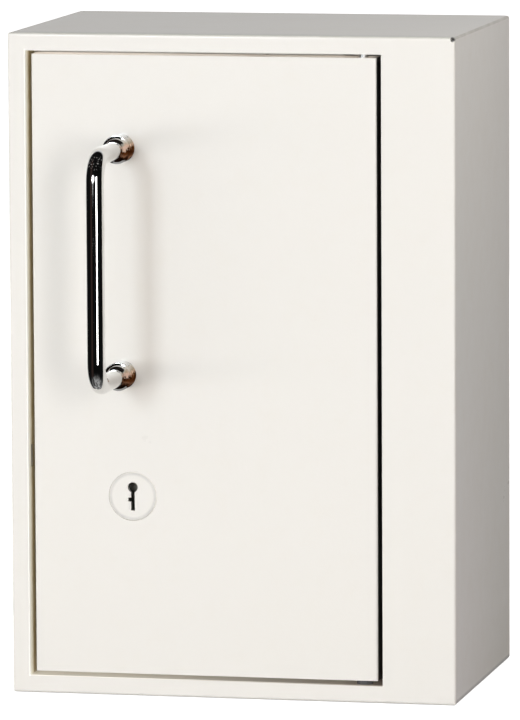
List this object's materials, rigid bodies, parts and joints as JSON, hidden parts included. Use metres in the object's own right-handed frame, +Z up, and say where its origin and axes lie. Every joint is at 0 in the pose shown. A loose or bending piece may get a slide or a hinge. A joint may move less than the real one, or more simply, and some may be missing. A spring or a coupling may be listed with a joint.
{
  "type": "lockable medicine cabinet",
  "caption": "Wall-mounted steel medicine cabinet with a flush hinged door, bow handle, lever lock whose bolt throws into the jamb, and adjustable shelves inside.",
  "frame": {"origin": "centre of the body's footprint on the underside of the body", "axes": "+Z up, +X to the right and +Y to the rear seen by someone who faces the door; the door faces -Y"},
  "size_m": [0.3, 0.278, 0.44],
  "materials": {
    "enamel_paint": "semi-gloss off-white stoved enamel",
    "buffer_rubber": "matt black rubber",
    "washer_plastic": "black acetal",
    "bare_steel": "bright drawn steel",
    "lock_brass": "machined brass",
    "handle_chrome": "polished chromium plate",
    "zinc_plate": "bright zinc-plated steel"
  },
  "bodies": {
    "cabinet": {"front_frame": "enamel_paint", "side_and_back_wrap": "enamel_paint", "top_panel": "enamel_paint", "bottom_panel": "enamel_paint", "hinge_pillar_channel": "enamel_paint", "door_stop_frame": "enamel_paint", "door_buffers": "buffer_rubber", "strike_box": "bare_steel", "hinge_bracket_top": "bare_steel", "hinge_bracket_bottom": "bare_steel", "hinge_bush_top": "lock_brass", "hinge_bush_bottom": "lock_brass", "thrust_washer": "washer_plastic", "shelf_strips": "enamel_paint", "shelf_clips": "zinc_plate", "shelf_upper": "enamel_paint", "shelf_lower": "enamel_paint"},
    "door": {"door_pan": "enamel_paint", "door_inner_panel": "enamel_paint", "door_stiffener": "bare_steel", "hinge_block_top": "bare_steel", "hinge_block_bottom": "bare_steel", "hinge_pin_top": "bare_steel", "hinge_pin_bottom": "bare_steel", "inner_panel_screws": "zinc_plate", "handle_bar": "handle_chrome", "handle_collar_top": "handle_chrome", "handle_collar_bottom": "handle_chrome", "handle_screws": "zinc_plate", "handle_washers": "zinc_plate", "key_plate": "enamel_paint", "hard_plate": "bare_steel", "lock_case": "zinc_plate", "lock_cover": "zinc_plate", "lock_screws": "bare_steel", "bolt_guide_post": "bare_steel", "lever_pivot_post": "bare_steel", "lever_stop_post": "bare_steel"},
    "bolt": {"lock_bolt": "lock_brass"},
    "levers": {"levers": "lock_brass", "lever_springs": "bare_steel"}
  },
  "joints": [
    {"name": "door_hinge", "type": "hinge", "parent": "cabinet", "child": "door", "pos_m": [0.0878, -0.093, 0.22], "axis": [0, 0, 1], "range_deg": [0, 110]},
    {"name": "bolt_slide", "type": "slide", "parent": "door", "child": "bolt", "axis": [-1, 0, 0], "range_m": [0, 0.0115]},
    {"name": "lever_swing", "type": "hinge", "parent": "door", "child": "levers", "pos_m": [-0.0559, -0.09, 0.1609], "axis": [0, -1, 0], "range_deg": [0, 4]}
  ]
}
